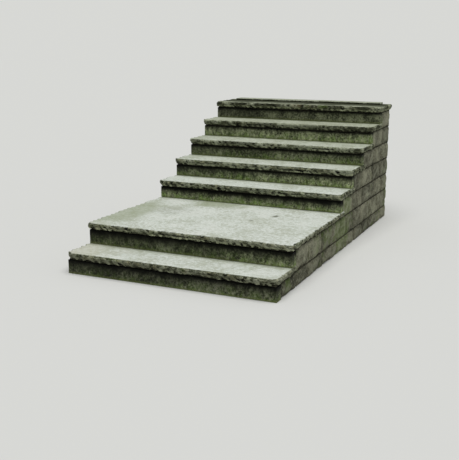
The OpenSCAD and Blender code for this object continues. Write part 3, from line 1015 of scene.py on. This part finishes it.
def walling_finish():
    """Squared walling stones of uneven tone, stained by algae, dark in their hollows."""
    material, n, where = start_material("walling_stone")
    grain = n.group(GRAIN, Vector=where, Pale=WALL_PALE, Dark=WALL_DARK, Patch=8.0, Grain=0.4)
    algae = n.group(GROWTH, Vector=n.stretch(where, (1, 1, 0.6)), Scale=14.0, Area=2.0, Amount=0.55)[0]
    crust = n.group(GROWTH, Vector=where, Scale=34.0, Area=5.0, Amount=0.45)[0]
    fine = n.swing(where, 120.0, 5.0, 0.75)
    sunk = n.plus(n.attribute("sunk"), n.times(fine, 0.9))
    color = n.coats(
        n.shaded(grain["Color"], n.plus(n.times(n.attribute("tone"), 0.70), 0.62)),
        (RISER_ALGAE, algae, 0.45),
        (LICHEN, crust, 0.5),
        (LICHEN, n.step(sunk, 0.20, -0.10), 0.35),
        (FACE_DIRT_AND_SHADE, n.step(sunk, 0.50, 1.15), 0.70),
    )
    chips = n.cells(n.stretch(n.bent(where, 60.0), (1, 1, 1.4)), 60.0)
    height = n.plus(grain["Height"], n.plus(n.times(chips["Distance"], 3.0), n.times(fine, 3.0)))
    return finish_material(material, n, where, color, height, 0.88, 1.5 * MM)


def mortar_finish():
    """Raked mortar: sandy, crumbly and dark where it stays damp; the darkness is partly painted shade under
    the slabs.
    """
    material, n, where = start_material("mortar")
    grain = n.group(GRAIN, Vector=where, Pale=MORTAR_PALE, Dark=MORTAR_DARK, Patch=14.0, Grain=0.6)
    damp = n.step(n.noise(where, 9.0, 5.0, 0.65), 0.44, 0.66)
    color = n.coats(grain["Color"], (RISER_DAMP_AND_SHADE, damp, 0.8))
    return finish_material(material, n, where, color, grain["Height"], 0.92, 2.0 * MM)


def rubble_finish():
    """Rubble filling: broken stone of uneven tone in mortar."""
    material, n, where = start_material("rubble_filling")
    grain = n.group(GRAIN, Vector=where, Pale=WALL_PALE, Dark=MORTAR_DARK, Patch=12.0, Grain=0.6)
    return finish_material(material, n, where, grain["Color"], grain["Height"], 0.92, 3.0 * MM)


# Pieces

def span(node):
    """Lowest and highest corner of a node of the model."""
    lo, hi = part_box(node)
    return np.array(lo), np.array(hi)


RISER_BOXES = {k: span(f"riser_{k}") for k in range(1, STEPS + 1)}
HALF_W = float(RISER_BOXES[1][1][0])

# The upper steps are darker, in painted shade of the porch, and dirtier, the top one by the door most
TOP_LOOK = {
    1: TopLook(1.00, 0.00, 0.48),
    2: TopLook(1.00, 0.12, 0.28),
    3: TopLook(0.95, 0.30, 0.50),
    4: TopLook(0.87, 0.50, 0.55),
    5: TopLook(0.78, 0.70, 0.62),
    6: TopLook(0.69, 0.80, 0.66),
    7: TopLook(0.60, 0.90, 0.68),
}
# The sill is darker: painted shade of the doorway, with dirt
SILL_LOOK = TopLook(0.70, 0.40, 0.50)
FACE_LOOK = {
    1: FaceLook(0.010, 0.36, 0.58, 0.30, 0.35, 0.0045),
    2: FaceLook(0.014, 0.42, 0.40, 0.65, 0.40, -0.0020),
    3: FaceLook(0.012, 0.36, 0.38, 0.50, 0.30, 0.0040),
    4: FaceLook(0.014, 0.30, 0.38, 0.60, 0.35, 0.0050),
    5: FaceLook(0.024, 0.55, 0.40, 0.50, 0.85, -0.0020),
    6: FaceLook(0.028, 0.68, 0.58, 0.25, 0.80, 0.0000),
    7: FaceLook(0.006, 0.36, 0.48, 0.85, 0.85, 0.0030),
}
RISER_LOOK = {
    1: RiserLook(0.80, 1.05, 0.68, 0.45, 0.10),
    2: RiserLook(0.70, 2.85, 0.85, 0.62, 0.25),
    3: RiserLook(0.90, 3.30, 1.00, 0.00, 0.00),
    4: RiserLook(0.80, 4.20, 0.78, 0.55, -0.30),
    5: RiserLook(0.80, 2.05, 0.55, 0.35, -0.20),
    6: RiserLook(0.70, 3.20, 0.34, 0.20, -0.20),
    7: RiserLook(0.10, 1.70, 0.42, 0.60, -0.20),
}
# Stains on the tops, some of them painted shade, seen in the photograph: X, Y, half sizes along them,
# strength and colour
TOP_MARKS = {
    1: (
        (-0.850, -1.400, 0.420, 0.330, 0.45, TOP_STAIN),
    ),
    2: (
        (0.393, -0.414, 0.028, 0.046, 0.85, TOP_GRIME_AND_SHADE),
        (0.271, -0.631, 0.022, 0.020, 0.60, TOP_GRIME_AND_SHADE),
        (-0.200, -0.200, 0.320, 0.140, 0.60, TOP_ALGAE_AND_SHADE),
        # Algae at the landing's left end, with painted shade of the plants
        (-0.780, -0.750, 0.260, 0.640, 0.55, TOP_ALGAE_AND_SHADE),
        # A faint darker area where a bowl stood
        (-0.460, -0.560, 0.200, 0.170, 0.16, TOP_GRIME_AND_SHADE),
    ),
    7: (
        # Dark band over the top step's tread: painted shade and reflection of the doorway, with dirt
        (0.000, 1.300, 3.000, 0.230, 0.85, RISER_DARK),
        (0.076, 1.280, 0.010, 0.300, 0.80, RISER_DAMP_AND_SHADE),
    ),
}
# Patches on the broken faces, seen in the photograph: middle and half length along X, strength, colour
FACE_PATCHES = {
    1: ((0.800, 0.050, 0.30, LICHEN), (-0.140, 0.150, 0.35, FACE_GLOOM)),
    2: ((-0.130, 0.070, 0.40, FACE_GLOOM),),
    5: ((-0.320, 0.150, 0.65, FACE_GLOOM), (0.320, 0.120, 0.40, FACE_RIDGE)),
    6: ((-0.210, 0.130, 0.55, FACE_GLOOM), (0.260, 0.090, 0.55, FACE_RIDGE)),
    7: (
        (-0.270, 0.160, 0.65, FACE_GLOOM),
        (0.022, 0.062, 0.28, TAN),
        (0.076, 0.009, 0.85, FACE_DIRT_AND_SHADE),
        (0.290, 0.060, 0.60, RISER_ALGAE),
        (0.390, 0.090, 0.45, FACE_GLOOM),
    ),
}


def riser_face(k):
    """Y of the front of riser k, and of the sill above the last step."""
    return float(RISER_BOXES[k][0][1] if k <= STEPS else span("door_sill")[0][1])


def slab_plan():
    """Every slab: its node, the name of its finish, its step, its broken ends and the seed of its form."""
    for k in range(1, STEPS):
        yield "landing_slab" if k == LANDING else f"tread_{k}", f"slab_{k}", k, ("left", "right"), k
    yield "top_slab_left", "top_slab_left", STEPS, ("left",), STEPS
    yield "top_slab_right", "top_slab_right", STEPS, ("right",), STEPS + 1


def make_slabs():
    x = HALF_W + END_OVERHANG
    for node, finish_name, k, ends, seed in slab_plan():
        lo, hi = span(node)
        x0 = -x if "left" in ends else lo[0]
        x1 = x if "right" in ends else hi[0]
        corner = FIRST_CORNER if k == 1 else CORNER
        surface = slab_surface(x0, x1, riser_face(k) - NOSING, hi[1], lo[2], hi[2], corner, ends, seed, k)
        placed = (TOP_MARKS.get(k, ()), FACE_PATCHES.get(k, ()))
        finish = slab_finish(finish_name, riser_face(k + 1), seed, TOP_LOOK[k], FACE_LOOK[k], *placed)
        make_piece(f"{node}_stone", *surface, finish, "slab_stone", node)


# Steps of the grids on the riser stones, radius of their arrises, and seed of the first one's relief
RISER_GRID = (12 * MM, 60 * MM, 9 * MM)
RISER_ARRIS = 3 * MM
RISER_SEED = 110


def make_risers():
    for k, (lo, hi) in RISER_BOXES.items():
        relief = sawn_relief(RISER_SEED + 10 * (k - 1), [FRONT, RIGHT, LEFT])
        points, quads, arris = block_surface(lo, hi, RISER_GRID, RISER_ARRIS, relief)
        node = f"riser_{k}"
        finish = riser_finish(node, lo[2], hi[2] - lo[2], RISER_LOOK[k], k)
        make_piece(f"{node}_stone", points, quads, [], {"arris": arris}, finish, "riser_stone", node)


# Walling: mean length of a stone, width of the upright joints, how far they lie behind the faces, how far
# they reach under the stones' arrises, and depth of the stones at the back
STONE_LENGTH = 300 * MM
JOINT = 9 * MM
JOINT_RECESS = 15 * MM
JOINT_LAP = 1 * MM
BACKING = 180 * MM
# Arrises and grid steps of stones and joints, with long steps into the wall and in the filling
STONE_ARRIS = 5 * MM
JOINT_ARRIS = 1.5 * MM
STONE_GRID = 13 * MM
JOINT_GRID = 12 * MM
DEEP_GRID = 60 * MM
FILLING_GRID = 200 * MM
# Depth at which a dressed face counts as fully sunk
SUNK_DEPTH = 18 * MM
# Seeds of the lengths and tones of the stones, and of the pits of the beds
WALLING_SEED = 11
BED_SEED = 600


def split_course(a, b, rng):
    """Ends of the stones along a course from a to b: even lengths made uneven by up to a third."""
    n = max(1, round((b - a) / STONE_LENGTH))
    lengths = rng.uniform(0.67, 1.33, n)
    return a + (b - a) * np.concatenate([[0], np.cumsum(lengths)]) / lengths.sum()


def make_course(node, lo, hi, out, finish, joint_finish, rng):
    """The stones and upright joints of one course, which face in the direction out. The last stone of a
    side wall shows its end at the back too."""
    is_side = out != BACK
    deep, along = (0, 1) if is_side else (1, 0)
    stone_steps, joint_steps = np.full(3, STONE_GRID), np.full(3, JOINT_GRID)
    stone_steps[deep] = joint_steps[deep] = DEEP_GRID
    ends = split_course(lo[along], hi[along], rng)
    last = len(ends) - 2
    stones, depths, joints = [], [], []
    for i in range(last + 1):
        a, b = lo.copy(), hi.copy()
        a[along] = ends[i] + (JOINT / 2 if i else 0)
        b[along] = ends[i + 1] - (JOINT / 2 if i < last else 0)
        seed = int(rng.integers(1, 10000))
        points, quads, arris = block_surface(a, b, stone_steps, STONE_ARRIS)
        faces = [out, BACK] if is_side and i == last else [out]
        points, depth = dressed(points, a, b, faces, seed)
        stones.append((points, quads))
        depths.append(depth)
        if i:
            a, b = lo.copy(), hi.copy()
            a[along] = ends[i] - JOINT / 2 - JOINT_LAP
            b[along] = ends[i] + JOINT / 2 + JOINT_LAP
            shown = b if out[deep] > 0 else a
            shown[deep] -= out[deep] * JOINT_RECESS
            relief = sawn_relief(seed, [out], depth=1.3)
            joints.append(block_surface(a, b, joint_steps, JOINT_ARRIS, relief)[:2])
    tones = np.repeat(rng.uniform(0, 1, len(stones)), [len(depth) for depth in depths])
    values = {"tone": tones, "sunk": np.clip(-np.concatenate(depths) / SUNK_DEPTH, 0, 1)}
    slot = "walling_stone" if is_side else "rubble_core"
    make_piece(f"{node}_stones", *join(stones), [], values, finish, slot, node)
    if joints:
        make_piece(f"{node}_joints", *join(joints), [], {}, joint_finish, "mortar", node)


def make_walling():
    rng = np.random.default_rng(WALLING_SEED)
    finish, joint_finish, filling_finish = walling_finish(), mortar_finish(), rubble_finish()
    for k in range(1, STEPS + 1):
        for side, out in (("left", LEFT), ("right", RIGHT)):
            make_course(f"{side}_wall_{k}", *span(f"{side}_wall_{k}"), out, finish, joint_finish, rng)
        core = f"core_{k}"
        lo, hi = span(core)
        inner = np.array([hi[0], hi[1] - BACKING, hi[2]])
        points, quads, arris = block_surface(lo, inner, np.full(3, FILLING_GRID), JOINT_ARRIS)
        make_piece(f"{core}_filling", points, quads, [], {}, filling_finish, "rubble_core", core)
        lo[1] = inner[1]
        make_course(core, lo, hi, BACK, finish, joint_finish, rng)
        bed = f"mortar_bed_{k}"
        make_piece(f"{bed}_joint", *bed_surface(*span(bed), BED_SEED + k), {}, joint_finish, "mortar", bed)


# Sill: steps of its grids, radius of its nose, and how far behind its front the nose counts as broken. The
# signed distance from the arris is there so many times the drop, less a length that still counts as top.
SILL_GRID = (10 * MM, 8 * MM, 7 * MM)
SILL_NOSE = 7 * MM
SILL_FRONT = 5 * MM
SILL_SLOPE = 3.0
SILL_TOP = 12 * MM
SILL_SEED = 500


def make_sill():
    lo, hi = span("door_sill")
    relief = sawn_relief(SILL_SEED, [FRONT, UP, RIGHT, LEFT], depth=1.2)
    points, quads, arris = block_surface(lo, hi, SILL_GRID, SILL_NOSE, relief)
    finish = slab_finish("door_sill", float(hi[1]), seed=20, top_look=SILL_LOOK, face_look=FACE_LOOK[STEPS])
    below = SILL_SLOPE * (hi[2] - points[:, 2]) - SILL_TOP
    edge = np.where(points[:, 1] < lo[1] + SILL_FRONT, below, -BAND)
    values = {"edge": edge, "hollow": np.full(len(points), 0.5)}
    make_piece("door_sill_stone", points, quads, [], values, finish, "slab_stone", "door_sill")


# Floor, lights and camera

FLOOR_COLOR = screen(216, 216, 212)
FLOOR_HALF = 60.0
BACKDROP_COLOR = screen(215.5, 216.3, 213.0)
# Light from all round
SKY_COLOR = (0.94, 0.97, 1.0, 1)
SKY_STRENGTH = 0.27
# Lamp: strength, width in degrees, place, and the direction from which it shines
LAMP_STRENGTH = 2.45
LAMP_WIDTH = 55
LAMP_PLACE = (1.2, -2.0, 6.0)
LAMP_FROM = (0.20, -0.26, 1.0)
# Width of the camera's sensor in millimetres
SENSOR = 36


def make_stage():
    """A plain matt floor just under the steps."""
    corners = [(-1, -1), (1, -1), (1, 1), (-1, 1)]
    mesh = bpy.data.meshes.new("floor")
    mesh.from_pydata([(FLOOR_HALF * x, FLOOR_HALF * y, 0) for x, y in corners], [], [(0, 1, 2, 3)])
    floor = bpy.data.objects.new("floor", mesh)
    bpy.context.scene.collection.objects.link(floor)
    floor.location.z = -1 * MM
    material = bpy.data.materials.new("floor")
    material.use_nodes = True
    shader = material.node_tree.nodes["Principled BSDF"]
    for key, value in (("Base Color", FLOOR_COLOR), ("Roughness", 0.9), ("Specular IOR Level", 0.0)):
        shader.inputs[key].default_value = value
    mesh.materials.append(material)


def make_lights():
    """A wide soft lamp above the front, even light from all round, and a pale backdrop that only the
    camera sees."""
    world = bpy.data.worlds.new("sky")
    bpy.context.scene.world = world
    world.use_nodes = True
    n = Nodes(world.node_tree)
    around = world.node_tree.nodes["Background"]
    around.inputs["Color"].default_value = SKY_COLOR
    around.inputs["Strength"].default_value = SKY_STRENGTH
    backdrop = n.add("ShaderNodeBackground", {"Color": BACKDROP_COLOR, "Strength": 1.0})
    seen = n.add("ShaderNodeLightPath").outputs["Is Camera Ray"]
    both = n.add("ShaderNodeMixShader", {0: seen, 1: around.outputs[0], 2: backdrop.outputs[0]})
    n.link(both.outputs[0], world.node_tree.nodes["World Output"], "Surface")

    light = bpy.data.lights.new("overhead", "SUN")
    light.energy = LAMP_STRENGTH
    light.angle = math.radians(LAMP_WIDTH)
    lamp = bpy.data.objects.new("overhead", light)
    bpy.context.scene.collection.objects.link(lamp)
    lamp.location = LAMP_PLACE
    lamp.rotation_mode = "QUATERNION"
    lamp.rotation_quaternion = (-Vector(LAMP_FROM)).to_track_quat("-Z", "Y")


def make_camera():
    """The camera looks along the direction given by its turn to the left and its tilt down."""
    turn, tilt, roll = (math.radians(a) for a in (CAMERA_TURN, CAMERA_TILT, CAMERA_ROLL))
    ahead = Vector((-math.sin(turn) * math.cos(tilt), math.cos(turn) * math.cos(tilt), -math.sin(tilt)))
    right = Vector((math.cos(turn), math.sin(turn), 0))
    up = right.cross(ahead)
    right, up = right * math.cos(roll) + up * math.sin(roll), up * math.cos(roll) - right * math.sin(roll)
    data = bpy.data.cameras.new("camera")
    data.sensor_width = SENSOR
    data.lens = FOCAL_POINTS * SENSOR / LONG_SIDE_POINTS
    camera = bpy.data.objects.new("camera", data)
    bpy.context.scene.collection.objects.link(camera)
    axes = Matrix((right, up, -ahead)).transposed().to_4x4()
    camera.matrix_world = Matrix.Translation(CAMERA_PLACE) @ axes
    bpy.context.scene.camera = camera


make_camera()
make_stage()
make_lights()
make_slabs()
make_risers()
make_walling()
make_sill()
bpy.context.scene.view_settings.view_transform = "Standard"
